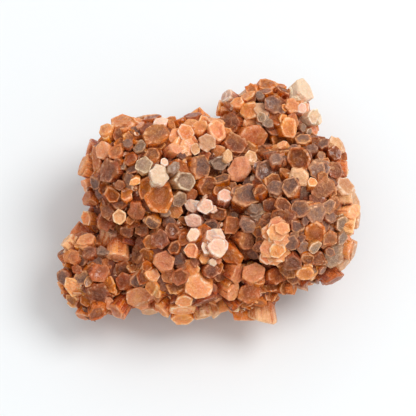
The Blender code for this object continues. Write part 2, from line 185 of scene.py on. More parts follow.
# The ends of the crystals that show best: across, up, width, tone and, at some, the habit
ENDS = {
    "left": (
        (-24.5, 23.0, 8.0, AMBER, FLAT), (-18.5, 25.5, 5.0, PEACH), (-15.0, 19.0, 7.0, BROWN, FLAT),
        (-6.5, 17.5, 8.0, PEACH, SHEAF), (-35.0, 16.0, 5.0, PEACH), (-35.5, 10.5, 5.5, AMBER),
        (-30.0, 14.5, 5.0, PEACH), (-26.5, 14.0, 4.5, RUST, RINGED), (-20.0, 16.5, 4.0, GREY),
        (-16.0, 13.0, 4.5, BROWN, RINGED), (-28.0, 8.5, 6.5, BROWN, NOTCHED), (-18.5, 10.0, 5.0, SMOKE, FLAT),
        (-14.0, 7.5, 6.0, CREAM, NOTCHED), (-7.5, 5.5, 6.0, SMOKE, HOLLOW), (-14.0, 1.0, 8.5, RUST, HOLLOW),
        (-22.5, 12.5, 4.5, RUST), (-23.0, 6.0, 5.0, MAUVE), (-20.5, -3.0, 5.5, RUST),
        (-17.0, -2.5, 5.0, BROWN, FLAT), (-16.0, -5.5, 4.5, MAUVE, FLAT), (-32.0, 5.5, 4.0, MAUVE),
        (-2.5, 9.5, 7.0, MAUVE, FLAT), (0.5, 4.5, 5.5, BROWN, RINGED), (-8.5, 0.5, 4.5, GREY),
    ),
    "hip": (
        (-23.5, 2.0, 4.0, RUST), (-27.5, 1.5, 4.5, RUST, HOLLOW), (-25.5, -0.5, 4.0, BROWN),
        (-29.0, -3.0, 4.5, BROWN), (-29.5, -6.0, 5.0, RUST), (-25.5, -5.0, 4.0, SAND),
        (-35.0, 0.5, 4.0, AMBER), (-34.0, -5.0, 4.0, PEACH), (-26.0, -15.5, 6.0, PEACH, RINGED),
        (-23.5, -9.0, 4.0, BROWN),
    ),
    "waist": (
        (-13.5, -11.0, 5.5, BROWN), (-11.0, -6.5, 4.0, MAUVE), (-19.0, -8.5, 4.0, BROWN),
        (-16.0, -12.0, 4.5, RUST),
    ),
    "saddle": (
        (3.5, 11.0, 4.5, SMOKE, HOLLOW), (8.0, 16.5, 6.5, BROWN, FLAT), (3.0, 20.0, 6.0, PEACH),
        (0.0, 16.5, 5.0, SAND), (-4.5, 26.0, 5.5, RUST), (2.5, 23.5, 5.0, AMBER), (-2.0, 21.0, 4.5, AMBER),
        (-10.0, 25.0, 5.5, RUST),
    ),
    "neck": (
        (9.5, 9.0, 7.0, PEACH, FLAT), (13.0, 12.5, 4.0, SAND), (17.0, 8.5, 6.0, MAUVE),
        (13.0, 19.5, 8.0, BROWN, ABSENT), (15.5, 3.0, 4.0, BROWN),
    ),
    "crest": (
        (28.0, 32.5, 7.5, CREAM, FLAT), (31.5, 34.0, 5.5, CREAM, ABSENT), (30.0, 24.5, 4.5, CREAM),
        (32.5, 25.0, 4.0, ROSE), (23.5, 21.5, 6.0, AMBER, FLAT), (18.0, 34.5, 6.0, RUST),
        (22.5, 33.0, 4.5, BROWN), (19.5, 28.0, 5.5, MAUVE, FLAT), (12.5, 27.0, 5.5, AMBER),
        (17.0, 24.0, 4.5, GREY, SHEAF), (7.0, 30.0, 4.0, ROSE, SHEAF), (9.5, 28.5, 4.0, PEACH),
        (7.0, 23.0, 5.0, BROWN, SHEAF), (13.5, 33.0, 4.0, RUST), (24.5, 27.5, 4.5, AMBER),
        (31.0, 29.0, 5.0, RUST), (3.5, 27.5, 4.5, PEACH),
    ),
    "shoulder": (
        (27.0, 12.0, 7.0, BROWN), (34.0, 16.5, 4.0, MAUVE), (37.5, 16.0, 5.0, SAND), (37.0, 13.5, 4.0, BROWN),
        (37.5, 9.0, 5.0, BROWN, RINGED), (41.0, 9.0, 4.0, CREAM), (27.0, 7.0, 5.5, SAND, NOTCHED),
        (34.0, 4.0, 7.0, BROWN), (32.0, 9.0, 5.0, MAUVE), (28.5, 17.5, 4.5, MAUVE),
    ),
    "right": (
        (18.5, 14.0, 4.0, MAUVE), (20.5, 11.0, 4.0, MAUVE), (23.0, 8.5, 4.0, BROWN),
        (24.5, 3.5, 5.5, MAUVE, RINGED), (20.0, 3.5, 5.0, MAUVE), (16.0, 2.5, 4.0, BROWN),
        (39.5, 3.5, 5.0, SAND), (22.0, -1.5, 4.5, BROWN, RINGED), (27.0, -2.5, 5.5, MAUVE),
        (31.5, -3.5, 6.0, MAUVE), (35.5, -2.0, 4.0, MAUVE), (42.5, -1.0, 5.0, SAND),
        (43.5, -5.5, 5.0, SAND), (36.0, -4.5, 4.0, MAUVE), (39.5, -7.0, 4.5, GREY),
        (31.5, -9.5, 6.5, RUST, RINGED), (31.5, -13.5, 4.0, GREY), (20.5, -9.0, 6.5, PEACH, SHEAF),
        (19.5, -15.0, 7.5, PEACH, SHEAF), (25.0, -12.0, 4.5, MAUVE), (28.0, -13.5, 4.0, MAUVE),
        (25.0, -18.0, 5.5, BROWN, RINGED), (29.0, -16.5, 4.0, BROWN, RINGED),
        (32.5, -17.0, 4.0, BROWN, RINGED), (28.5, -20.5, 5.0, AMBER), (39.5, -10.5, 4.5, GREY),
        (40.5, -18.0, 6.0, SAND),
        (42.0, -14.0, 5.0, SAND), (37.0, -23.0, 7.0, RUST), (26.5, -7.5, 4.5, MAUVE),
        (35.5, -11.0, 4.5, BROWN),
    ),
    "middle": (
        (5.0, 0.5, 4.0, ROSE), (11.0, 1.0, 8.0, MAUVE, FLAT), (7.0, -7.0, 5.0, RUST),
        (12.0, -7.0, 5.0, MAUVE), (11.5, -11.5, 5.5, BROWN), (7.0, -15.5, 6.0, RUST),
        (-0.5, -2.0, 4.5, ROSE), (1.0, -7.5, 4.5, MAUVE, RINGED), (-3.5, -6.0, 4.5, ROSE),
        (15.0, -3.0, 4.5, GREY, SHEAF),
    ),
    "front": (
        (2.0, -12.5, 7.0, ROSE, SHEAF), (-4.5, -15.0, 4.0, PEACH, HOLLOW), (-9.5, -13.5, 4.0, BROWN, HOLLOW),
        (-12.5, -17.5, 6.0, AMBER, RINGED), (-2.5, -24.5, 8.0, PEACH, FLAT), (7.5, -21.0, 6.0, AMBER),
        (6.0, -25.5, 5.5, AMBER), (0.5, -20.5, 4.0, BROWN), (-8.0, -22.0, 5.0, RUST),
        (-21.0, -15.0, 6.5, BROWN, HOLLOW), (-7.5, -35.0, 6.0, AMBER, ABSENT), (-7.0, -11.0, 4.0, RUST),
        (-1.0, -34.0, 5.5, SAND), (4.5, -33.0, 5.5, SAND), (8.5, -30.5, 4.5, BROWN),
        (-13.0, -31.5, 5.0, AMBER), (-6.5, -28.5, 4.5, PEACH),
    ),
    "instep": (
        (-20.0, -23.0, 5.0, MAUVE, FLAT), (-23.5, -23.5, 5.0, RUST), (-19.5, -27.5, 7.5, AMBER, FLAT),
        (-17.0, -32.0, 5.0, AMBER), (-26.0, -31.0, 5.5, AMBER), (-16.0, -21.5, 4.0, PEACH),
    ),
    "toe": (
        (-31.5, -21.0, 6.0, RUST, NOTCHED), (-32.0, -27.0, 7.0, BROWN, NOTCHED), (-32.0, -32.0, 6.0, RUST),
        (-36.5, -34.0, 4.5, AMBER), (-43.5, -27.0, 6.0, AMBER), (-41.5, -22.5, 4.5, MAUVE),
        (-39.5, -16.5, 5.0, RUST), (-42.5, -15.0, 4.5, BROWN), (-35.5, -12.0, 5.0, AMBER),
        (-34.5, -15.5, 4.0, BROWN), (-31.5, -11.0, 4.0, BROWN), (-28.5, -10.0, 5.5, SAND, SHEAF),
        (-37.0, -22.5, 4.5, MAUVE), (-40.5, -12.5, 4.5, SAND), (-37.5, -10.0, 4.5, RUST),
    ),
    "heel": (
        (13.5, -21.5, 6.0, AMBER, FLAT), (19.5, -22.0, 5.0, RUST), (12.5, -27.0, 6.0, RUST, FLAT),
        (16.5, -32.5, 7.0, AMBER, ABSENT), (22.0, -25.5, 4.0, BROWN), (25.0, -25.5, 4.0, RUST),
    ),
}

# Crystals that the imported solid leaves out: lobe, across, up, width, tone and habit
SMALL_ENDS = (
    ("left", -28.6, 19.8, 4.4, AMBER, FLAT), ("left", -13.8, 22.0, 4.0, ROSE, FLAT),
    ("left", -34.6, 4.8, 2.6, PEACH, FLAT), ("left", -10.0, 14.4, 3.6, PEACH, FLAT),
    ("left", -12.6, 11.1, 2.4, ROSE, FLAT), ("left", -25.3, 4.6, 2.8, BROWN, FLAT),
    ("left", -10.2, 9.3, 3.4, SMOKE, NOTCHED), ("left", -24.9, 10.2, 2.4, GREY, FLAT),
    ("left", -20.7, 5.4, 2.8, PEACH, FLAT), ("left", -23.1, 16.6, 3.0, MAUVE, FLAT),
    ("hip", -22.3, -5.4, 3.0, BROWN, RINGED), ("waist", -12.1, -3.6, 3.0, GREY, FLAT),
    ("saddle", -3.0, 14.8, 3.2, SAND, FLAT), ("saddle", 5.6, 12.9, 3.0, SAND, NOTCHED),
    ("crest", 28.0, 21.6, 2.6, GREY, FLAT), ("crest", 30.0, 20.4, 2.6, GREY, FLAT),
    ("crest", 15.6, 30.6, 2.8, GREY, FLAT), ("crest", 27.0, 26.6, 3.0, ROSE, FLAT),
    ("right", 17.4, 17.2, 2.6, MAUVE, FLAT), ("shoulder", 22.5, 16.0, 3.2, PEACH, RINGED),
    ("shoulder", 24.8, 19.0, 2.6, MAUVE, FLAT), ("shoulder", 30.9, 15.0, 3.2, MAUVE, RINGED),
    ("shoulder", 25.6, 15.2, 2.8, MAUVE, FLAT), ("shoulder", 33.4, 13.2, 2.6, MAUVE, FLAT),
    ("right", 30.3, 4.6, 2.8, PEACH, FLAT), ("right", 35.4, -14.6, 2.8, MAUVE, FLAT),
    ("right", 28.6, -5.8, 2.6, MAUVE, FLAT), ("middle", -4.0, -1.7, 3.6, ROSE, FLAT),
    ("front", -3.9, -10.4, 3.4, ROSE, FLAT), ("front", 1.5, -17.9, 2.6, CREAM, NOTCHED),
    ("front", -16.8, -19.0, 3.0, RUST, FLAT), ("front", -24.6, -10.9, 3.0, RUST, FLAT),
    ("instep", -24.0, -28.0, 3.2, GREY, FLAT), ("toe", -30.8, -15.0, 3.4, GREY, FLAT),
    ("toe", -34.6, -23.6, 2.8, MAUVE, FLAT),
)

# Crystals that lie across the view and show their sides: lobe, across and up of the end, which way
# it points, in degrees from straight across, how much of the cap faces the viewer, width and tone
COLUMNS = (
    ("heel", 16.6, -34.6, -72.0, 0.1, 8.8, SAND), ("front", -7.6, -33.4, -82.0, 0.6, 5.4, AMBER),
    ("right", 42.6, 1.5, 5.0, 0.1, 4.6, SAND), ("right", 43.0, -3.2, 2.0, 0.1, 5.0, PEACH),
    ("right", 42.6, -7.6, -8.0, 0.1, 4.6, SAND), ("right", 42.0, -14.5, -25.0, 0.15, 5.5, PEACH),
    ("right", 40.6, -18.4, -35.0, 0.1, 4.6, SAND), ("right", 37.4, -23.4, -50.0, 0.15, 6.5, RUST),
    ("shoulder", 39.4, 16.4, 20.0, 0.1, 4.8, SAND), ("shoulder", 41.0, 9.4, 0.0, 0.1, 4.0, PEACH),
    ("crest", 28.8, 33.0, 48.0, 0.35, 6.4, CREAM), ("crest", 32.6, 24.6, 10.0, 0.2, 4.2, CREAM),
    ("crest", 13.2, 19.4, -60.0, 3.0, 7.8, AMBER), ("instep", -17.0, -32.4, -85.0, 0.2, 4.5, SAND),
    ("front", -13.5, -32.0, -95.0, 0.3, 4.5, PEACH), ("front", 0.0, -33.0, -88.0, 0.1, 5.0, SAND),
    ("front", 5.0, -32.2, -80.0, 0.1, 4.6, PEACH),
)

# The crystals that point straight down and carry the cluster: lobe, x, y and width
FEET = (
    ("left", -19.0, 8.0, 7.0), ("hip", -25.5, -2.0, 5.0), ("crest", 17.5, 24.5, 7.0),
    ("right", 28.0, -4.0, 7.0), ("right", 21.0, -7.0, 5.5), ("middle", 3.0, -2.0, 6.0),
    ("heel", 14.5, -22.5, 6.5), ("toe", -33.0, -19.0, 7.0), ("front", -6.0, -18.5, 6.5),
)


def end_on_skin(name: str, across: float, up: float) -> Vector:
    """The point of the cluster's skin nearest the viewer at a place of the layout plane.

    Args:
        name: The lobe whose closest pass counts where no lobe has skin.
        across: The place's distance to the right of the plane's middle.
        up: Its distance above the middle.

    Returns:
        The point, in the layout's own frame.
    """
    place = PLANE_MIDDLE + across * ACROSS + up * UP
    found = [lobe.depth_of_skin(place) for lobe in LOBES.values()]
    depths = [depth for depth, there in found if there]
    return place + (max(depths) if depths else LOBES[name].depth_of_skin(place)[0]) * TOWARDS


def spiral(count: int, index: int) -> Vector:
    """One of many directions spread evenly over a sphere.

    Args:
        count: How many there are.
        index: Which of them.

    Returns:
        The direction, of length 1.
    """
    height = 1.0 - 2.0 * (index + 0.5) / count
    ring = math.sqrt(1.0 - height * height)
    turn = index * math.pi * (3.0 - math.sqrt(5.0))
    return Vector((ring * math.cos(turn), ring * math.sin(turn), height))


def sunk_below_skin(points: np.ndarray) -> np.ndarray:
    """How deep points lie under the skin of the lobes.

    Args:
        points: Rows of x, y and z in the layout's own frame.

    Returns:
        The depth of each, 0 outside.
    """
    deepest = np.zeros(len(points))
    for lobe in LOBES.values():
        away = np.linalg.norm((points - np.array(lobe.centre)) / np.array(lobe.radii), axis=1)
        deepest = np.maximum(deepest, (1.0 - away) * min(lobe.radii))
    return deepest


@dataclass(frozen=True)
class CapStep:
    """One ring of a cap: its width and rise as shares of the crystal's, and how near the middle it counts."""

    ring: float
    rise: float
    middle: float


CAPS = {
    FLAT: (CapStep(0.09, 0.0, 0.22), CapStep(0.15, 0.012, 0.62)),
    COLUMN: (CapStep(0.09, 0.01, 0.22), CapStep(0.15, 0.008, 0.62)),
    FOOT: (CapStep(0.09, 0.0, 0.22), CapStep(0.15, 0.0, 0.62)),
    RINGED: (
        CapStep(0.09, 0.01, 0.22), CapStep(0.025, -0.045, 0.3), CapStep(0.13, 0.0, 0.66),
        CapStep(0.03, 0.03, 0.74),
    ),
    HOLLOW: (CapStep(0.08, 0.02, 0.2), CapStep(0.10, -0.13, 0.5), CapStep(0.07, -0.05, 0.75)),
    NOTCHED: (CapStep(0.10, 0.03, 0.25), CapStep(0.13, -0.02, 0.6)),
}
SMALL_CAP = (CapStep(0.14, 0.0, 0.4),)


@dataclass(frozen=True)
class Crystal:
    """One crystal: a tapered six-sided prism whose end, the cap, points away from the lobe's centre."""

    end: Vector
    axis: Vector
    width: float
    length: float
    stretch: float
    roll: float
    wander: tuple[float, ...]
    tone: Tone = DRUSE
    habit: Habit = FLAT
    chance: float = 0.5
    listed: bool = False

    ROOT_TAPER: ClassVar[float] = 0.78  # the root's width as a share of the cap's
    FINE_WIDTH: ClassVar[float] = 3.3  # narrower crystals are plainer
    DRUSE_WIDTH: ClassVar[float] = 2.1  # and narrower than this, as plain as can be
    LEVEL: ClassVar[float] = 0.01  # points that differ less in height are level
    ROOT_SHARE: ClassVar[float] = 0.98  # what lies deeper is the root's end
    NOTCH: ClassVar[float] = 0.86  # how far out the middle of a side lies, notched or not
    BULGE: ClassVar[float] = 1.02
    MOST_CHIPS: ClassVar[int] = 3
    CHIP_REACH: ClassVar[Span] = (0.28, 0.46)  # how far from the axis a chip's plane meets the cap
    CHIP_SLOPE: ClassVar[Span] = (0.4, 1.4)
    WORN_ANGLE: ClassVar[float] = 0.3  # edges that turn by less aren't rounded
    ROUNDING_SHARE: ClassVar[float] = 0.035
    LEAST_ROUNDING: ClassVar[float] = 0.05
    RIM_PLACE: ClassVar[float] = 0.02
    CORE_DRIFT: ClassVar[float] = 0.45  # how much nearer the middle one side of a ring counts
    CORE_TURNS: ClassVar[float] = 9.0
    SLANT: ClassVar[float] = 2.6
    BEND: ClassVar[float] = 0.05  # as a share of the width
    BEND_GRAIN: ClassVar[float] = 0.5
    BEND_LENGTHWISE: ClassVar[float] = 0.3
    BEND_RISE: ClassVar[float] = 0.35
    SEED_REACH: ClassVar[Triple] = (61.0, 37.0, 43.0)  # how far apart crystals lie in the noise
    GRAIN_REACH: ClassVar[float] = 9.0
    MAP_CAP: ClassVar[float] = 0.55  # shares of the map that the cap, the sides and the root's end take
    MAP_SIDES: ClassVar[float] = 0.40
    MAP_ROOT: ClassVar[float] = 0.02

    def placed(self) -> Matrix:
        """The matrix from the crystal's own frame, with the cap at z = 0, to the layout's."""
        turned = self.axis.to_track_quat("Z", "Y").to_matrix().to_4x4()
        return Matrix.Translation(self.end) @ turned @ Matrix.Rotation(self.roll, 4, "Z")

    def corner(self, number: int) -> Vector:
        """A corner of the cap.

        Args:
            number: Which of them, from 0.

        Returns:
            Its place in the crystal's own frame.
        """
        radius = 0.5 * self.width / math.cos(math.pi / SIDES)
        angle = math.tau * number / SIDES
        across = radius * math.sqrt(self.stretch) * math.cos(angle)
        along = radius / math.sqrt(self.stretch) * math.sin(angle)
        return self.wander[number] * Vector((across, along, 0.0))

    @staticmethod
    def side_at(point: Vector) -> int:
        """The number of the side, or of the corner that it starts from, in this direction."""
        return int(math.atan2(point.y, point.x) % math.tau / math.tau * SIDES)

    def reach_of_side(self, side: int) -> float:
        """How far out the middle of a side lies. Two sides of a notched crystal turn inwards.

        Args:
            side: The side's number.

        Returns:
            The reach, as a share of that of a flat side.
        """
        first = int(self.chance * SIDES)
        notched = self.habit is NOTCHED and side in (first % SIDES, (first + 2) % SIDES)
        return self.NOTCH if notched else self.BULGE

    def prism(self) -> BMesh:
        """The closed prism, on the wider crystals with a point in the middle of each side and with chips.

        Returns:
            The mesh, in the crystal's own frame.
        """
        mesh = bmesh.new()
        bmesh.ops.create_cone(mesh, cap_ends=True, segments=SIDES, radius1=1.0, radius2=1.0, depth=1.0)
        for vert in mesh.verts:
            corner = self.corner(self.side_at(vert.co))
            on_cap = vert.co.z > 0.0
            vert.co = corner if on_cap else self.ROOT_TAPER * corner
            vert.co.z = 0.0 if on_cap else -self.length
        if self.width >= self.FINE_WIDTH:
            level = [edge for edge in mesh.edges if abs(edge.verts[0].co.z - edge.verts[1].co.z) < self.LEVEL]
            halves = bmesh.ops.subdivide_edges(mesh, edges=level, cuts=1)["geom_inner"]
            for vert in (item for item in halves if isinstance(item, BMVert)):
                vert.co.xy *= self.reach_of_side(self.side_at(vert.co))
            if self.habit not in (COLUMN, FOOT):
                self.chip(mesh)
        return mesh

    def chip(self, mesh: BMesh) -> None:
        """Breaks some corners off the cap, each along a plane, but one at most of a crystal of a bright tone.

        Args:
            mesh: The prism.
        """
        dice = random.Random(self.chance)
        for _ in range(dice.randint(0, 1 if self.tone in ACCENTS else self.MOST_CHIPS)):
            angle = dice.uniform(0.0, math.tau)
            out = Vector((math.cos(angle), math.sin(angle), 0.0))
            cut = bmesh.ops.bisect_plane(
                mesh, geom=[*mesh.verts, *mesh.edges, *mesh.faces], clear_outer=True,
                plane_co=out * dice.uniform(*self.CHIP_REACH) * self.width,
                plane_no=(out + Vector((0.0, 0.0, dice.uniform(*self.CHIP_SLOPE)))).normalized(),
            )["geom_cut"]
            bmesh.ops.edgeloop_fill(mesh, edges=[item for item in cut if isinstance(item, BMEdge)])
        bmesh.ops.recalc_face_normals(mesh, faces=mesh.faces)

    def round_edges(self, mesh: BMesh) -> None:
        """Rounds the rim of the cap and, but on druse, the edges below it.

        Args:
            mesh: The prism.
        """
        druse = self.width < self.DRUSE_WIDTH
        lowest = -self.LEVEL if druse else -self.ROOT_SHARE * self.length
        compared = min if druse else max  # the end of an edge that has to lie above the lowest height
        edge_pick = [
            edge for edge in mesh.edges
            if compared(vert.co.z for vert in edge.verts) > lowest
            and edge.calc_face_angle(0.0) > self.WORN_ANGLE
        ]
        bmesh.ops.bevel(
            mesh, geom=edge_pick, offset=self.ROUNDING_SHARE * self.width + self.LEAST_ROUNDING,
            offset_type="OFFSET", segments=1, profile=0.5, affect="EDGES", material=-1, clamp_overlap=True,
        )

    def shape_cap(self, mesh: BMesh, place: BMLayerItem) -> None:
        """Lays the cap's rings inside each other, as the habit has them.

        Args:
            mesh: The crystal.
            place: The layer that says where on the crystal each point lies.
        """
        cap = max(mesh.faces, key=lambda face: face.normal.z * face.calc_area())
        for vert in cap.verts:
            vert[place].x = self.RIM_PLACE
        if self.width < self.DRUSE_WIDTH:
            return
        turn = math.tau * self.CORE_TURNS * self.chance
        drift = Vector((math.cos(turn), math.sin(turn)))
        wide = 1.0
        for step in CAPS[self.habit] if self.width >= self.FINE_WIDTH else SMALL_CAP:
            cap = bmesh.ops.extrude_discrete_faces(mesh, faces=[cap])["faces"][0]
            narrowed = 1.0 - 2.0 * step.ring / wide
            wide *= narrowed
            bmesh.ops.scale(
                mesh, verts=cap.verts, vec=Vector((narrowed, narrowed, 1.0)),
                space=Matrix.Translation(-cap.calc_center_median()),
            )
            bmesh.ops.translate(mesh, verts=cap.verts, vec=Vector((0.0, 0.0, step.rise * self.width)))
            for vert in cap.verts:
                off_centre = 1.0 + self.CORE_DRIFT * vert.co.xy.normalized().dot(drift)
                vert[place] = Vector((step.middle * off_centre, 0.0, self.chance))

    def lay_out_map(self, mesh: BMesh, place: BMLayerItem, cell: tuple[float, ...]) -> None:
        """Fills the crystal's part of the map, with the cap in the middle and the sides round it.

        Args:
            mesh: The crystal.
            place: The layer that says where on the crystal each point lies.
            cell: Left, bottom, width and height of the part.
        """
        bake = mesh.loops.layers.uv.new(BAKE_MAP)
        spots = {}
        for vert in mesh.verts:
            middle, below, _ = vert[place]
            reach = self.MAP_CAP * (1.0 - middle) + self.MAP_SIDES * min(1.0, below / self.length)
            way = vert.co.xy.normalized()
            square = max(abs(way.x), abs(way.y)) or 1.0
            spots[vert] = Vector([0.5 + 0.5 * reach * part / square for part in way])
        left, bottom, wide, high = cell
        for face in mesh.faces:
            is_root = all(vert.co.z < -self.ROOT_SHARE * self.length for vert in face.verts)
            share = self.MAP_ROOT if is_root else 1.0
            for loop in face.loops:
                spot = spots[loop.vert]
                loop[bake].uv = (left + wide * share * spot.x, bottom + high * share * spot.y)

    def bend(self, mesh: BMesh, seed: Vector) -> None:
        """Bends the crystal a little, slowly along its length, and slants its cap.

        Args:
            mesh: The crystal.
            seed: Where in the noise it is read.
        """
        amount = self.BEND * self.width
        slant = self.SLANT * Vector((self.wander[2] - 1.0, self.wander[3] - 1.0))
        for vert in mesh.verts:
            place = Vector((vert.co.x, vert.co.y, self.BEND_LENGTHWISE * vert.co.z))
            shift = noise.noise_vector(place * self.BEND_GRAIN + seed) * amount
            vert.co += Vector((shift.x, shift.y, self.BEND_RISE * shift.z + slant.dot(vert.co.xy)))

    def worked(self, cell: tuple[float, ...]) -> BMesh:
        """The finished crystal in its own frame, with what its finish reads stored on it.

        Args:
            cell: Left, bottom, width and height of the crystal's own part of the map.

        Returns:
            The mesh. Its place layer holds how near the cap's middle a point is, how far it lies below the
            cap and the crystal's own chance, and its grain layer the point in a space of its own.
        """
        mesh = self.prism()
        place = mesh.verts.layers.float_vector.new("place")
        grain = mesh.verts.layers.float_vector.new("grain")
        self.round_edges(mesh)
        for vert in mesh.verts:
            vert[place] = Vector((0.0, -vert.co.z, self.chance))
        self.shape_cap(mesh, place)
        self.lay_out_map(mesh, place, cell)
        seed = Vector([reach * part for reach, part in zip(self.SEED_REACH, (self.chance, *self.wander))])
        if self.habit is not FOOT:
            self.bend(mesh, seed)
        for vert in mesh.verts:
            vert[grain] = vert.co + self.GRAIN_REACH * seed
        return mesh


@dataclass
class Growth:
    """Where the crystals stand, and how they vary."""

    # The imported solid's values
    shape_seed: int = 1
    wander: float = 0.07
    stretch: Span = (1.0, 1.15)
    listed_proud: Span = (-1.1, 1.3)
    root_depth: float = 0.42
    crowding: float = 0.8
    foot_length: float = 9.0
    wide_fill: Span = (7.0, 9.0)
    wide_proud: Span = (-1.6, 0.6)
    wide_tries: int = 340
    wide_spacing: float = 0.97
    clearance: float = 0.9
    most_shortened: float = 5.0
    downward: float = -0.1

    # The looks' own values
    looks_seed: int = 7
    stray: float = 0.13
    listed_stray: float = 0.07
    outward_stray: float = 0.8
    fine_tries: int = 1500
    fine_buried: float = 0.96
    fine_wander: float = 0.12
    fine_stretch: Span = (1.0, 1.35)
    small_proud: float = 0.3
    # The rounds that fill what the solid leaves free: least and greatest width, the same of the rise, spacing
    rounds: tuple[tuple[float, float, float, float, float], ...] = (
        (3.6, 5.4, -2.2, 0.1, 0.70),
        (2.4, 3.6, -2.2, -0.3, 0.74),
        (1.4, 2.1, -2.8, -1.0, 0.82),
    )
    lift: Span = (-0.9, 0.7)
    listed_lift: Span = (0.0, 1.2)
    accent_lift: float = 0.9
    hanging: float = -0.3  # crystals that point further down than this are sunk, never raised
    sidelong: float = 0.5
    sidelong_share: float = 0.7
    side_sink: float = 2.2
    side_shift: float = 2.2
    inset: float = 1.0
    column_rise: float = 1.8
    column_length: float = 11.0
    lean: float = 0.2
    listed_lean: float = 0.12
    sheaf_round: int = 5
    sheaf_turn: float = 0.3
    sheaf_out: Span = (0.2, 0.32)
    sheaf_proud: Span = (-0.25, 0.05)
    sheaf_lean: float = 0.13
    sheaf_width: Span = (0.55, 0.75)
    twinned_width: float = 4.2
    twins_tried: int = 2
    twin_share: float = 0.6
    twin_sink: Span = (0.08, 0.45)
    twin_out: Span = (0.6, 0.85)
    twin_width: Span = (0.4, 0.6)
    twin_length: float = 0.8
    twin_turn: float = 0.1
    twin_chance: float = 0.2
    cell: float = 8.0

    shapes: random.Random = field(init=False)
    looks: random.Random = field(init=False)
    placed: list[Crystal] = field(default_factory=list)
    near: dict[tuple[int, int, int], list[Crystal]] = field(default_factory=dict)

    def __post_init__(self) -> None:
        """Seeds the draws."""
        self.shapes = random.Random(self.shape_seed)
        self.looks = random.Random(self.looks_seed)

    def picked(self, weights: dict[Tone, float] | dict[Habit, float]) -> Tone | Habit:
        """One of these at random, by their weights."""
        return self.looks.choices(list(weights), list(weights.values()))[0]

    def either_way(self, most: float) -> float:
        """A draw between minus and plus this much."""
        return self.looks.uniform(-most, most)

    def scattered(self, spread: float, count: int = 3) -> list[float]:
        """Draws that scatter round 0."""
        return [self.looks.gauss(0.0, spread) for _ in range(count)]

    def at(self, lobe: Lobe, end: Vector, width: float, proud: float, dice: random.Random) -> Crystal:
        """Stands a crystal that grew from a lobe's centre.

        Args:
            lobe: The lobe.
            end: Where the crystal leaves the lobe's skin.
            width: Its width.
            proud: How far it stands out of the skin.
            dice: The draws that it takes, those of the shapes or those of the looks.

        Returns:
            The crystal, with neither tone nor habit.
        """
        fine = dice is self.looks
        wander = self.fine_wander if fine else self.wander
        way = end - lobe.centre
        lean = self.crowding if way.z > 0.0 else 1.0
        axis = Vector((way.x * lean, way.y * lean, way.z)).normalized()
        return Crystal(
            end=end + proud * axis,
            axis=axis,
            width=width,
            stretch=dice.uniform(*(self.fine_stretch if fine else self.stretch)),
            roll=dice.uniform(0.0, math.tau),
            length=way.length * self.root_depth + 0.5 * width,
            wander=tuple(dice.uniform(1.0 - wander, 1.0 + wander) for _ in range(SIDES)),
        )

    def dressed(self, crystal: Crystal, tone: Tone, habit: Habit | None = None) -> Crystal:
        """A crystal with its looks, and with a chance of its own.

        Args:
            crystal: The crystal as it grew.
            tone: Its tone.
            habit: Its habit. Without one it is drawn, but always flat on a fine crystal.

        Returns:
            The crystal, a little more uneven.
        """
        chosen = habit or (FLAT if crystal.width < Crystal.FINE_WIDTH else self.picked(HABITS))
        stray = 0.0 if chosen is FOOT else self.listed_stray if crystal.listed else self.stray
        least, most = 1.0 - stray, 1.0 + self.outward_stray * stray
        return replace(
            crystal,
            tone=tone,
            habit=chosen,
            chance=self.looks.random(),
            stretch=crystal.stretch * self.looks.uniform(1.0, 1.0 + stray),
            wander=tuple(share * self.looks.uniform(least, most) for share in crystal.wander),
        )

    def keep(self, crystal: Crystal) -> None:
        """Adds a crystal to those that stand."""
        self.placed.append(crystal)
        self.near.setdefault(self.cell_of(crystal.end), []).append(crystal)

    def cell_of(self, point: Vector) -> tuple[int, int, int]:
        """The cell of the search grid that holds this point."""
        return tuple(int(point[i] // self.cell) for i in range(3))

    def is_free(self, end: Vector, width: float, spacing: float) -> bool:
        """Whether a crystal has room.

        Args:
            end: Its end.
            width: Its width.
            spacing: The least distance between two ends, as a share of the mean of their widths.

        Returns:
            True where no other crystal's end is nearer.
        """
        x, y, z = self.cell_of(end)
        return all(
            (end - other.end).length > spacing * 0.5 * (width + other.width)
            for i in (x - 1, x, x + 1)
            for j in (y - 1, y, y + 1)
            for k in (z - 1, z, z + 1)
            for other in self.near.get((i, j, k), ())
        )

    def clear_of_surface(self, crystal: Crystal) -> Crystal:
        """Keeps a crystal from coming lower than the feet allow.

        Args:
            crystal: The crystal.

        Returns:
            The crystal, shortened where it has to be.
        """
        lowest = crystal.end.z - 0.5 * crystal.width * math.sqrt(1.0 - crystal.axis.z**2)
        if lowest >= self.clearance or crystal.axis.z >= self.downward:
            return crystal
        back = min((self.clearance - lowest) / -crystal.axis.z, self.most_shortened)
        return replace(crystal, end=crystal.end - back * crystal.axis, length=crystal.length - back)

    def place_listed(self) -> None:
        """Stands the crystals of the main table, and those that carry the cluster."""
        for name, rows in ENDS.items():
            for across, up, width, tone, *habit in rows:
                end = end_on_skin(name, across, up)
                proud = self.shapes.uniform(*self.listed_proud)
                made = self.at(LOBES[name], end, width, proud, self.shapes)
                self.keep(self.dressed(replace(made, listed=True), tone, *habit))
        down = Vector((0.0, 0.0, -1.0))
        for name, x, y, width in FEET:
            foot = self.at(LOBES[name], Vector((x, y, 0.0)), width, 0.0, self.shapes)
            self.keep(self.dressed(replace(foot, axis=down, length=self.foot_length), BROWN, FOOT))

    def is_buried(self, name: str, end: Vector, share: float) -> bool:
        """Whether another lobe than this one covers an end, at this share of its size."""
        return any(
            other.scaled(end - other.centre).length < share for key, other in LOBES.items() if key != name
        )

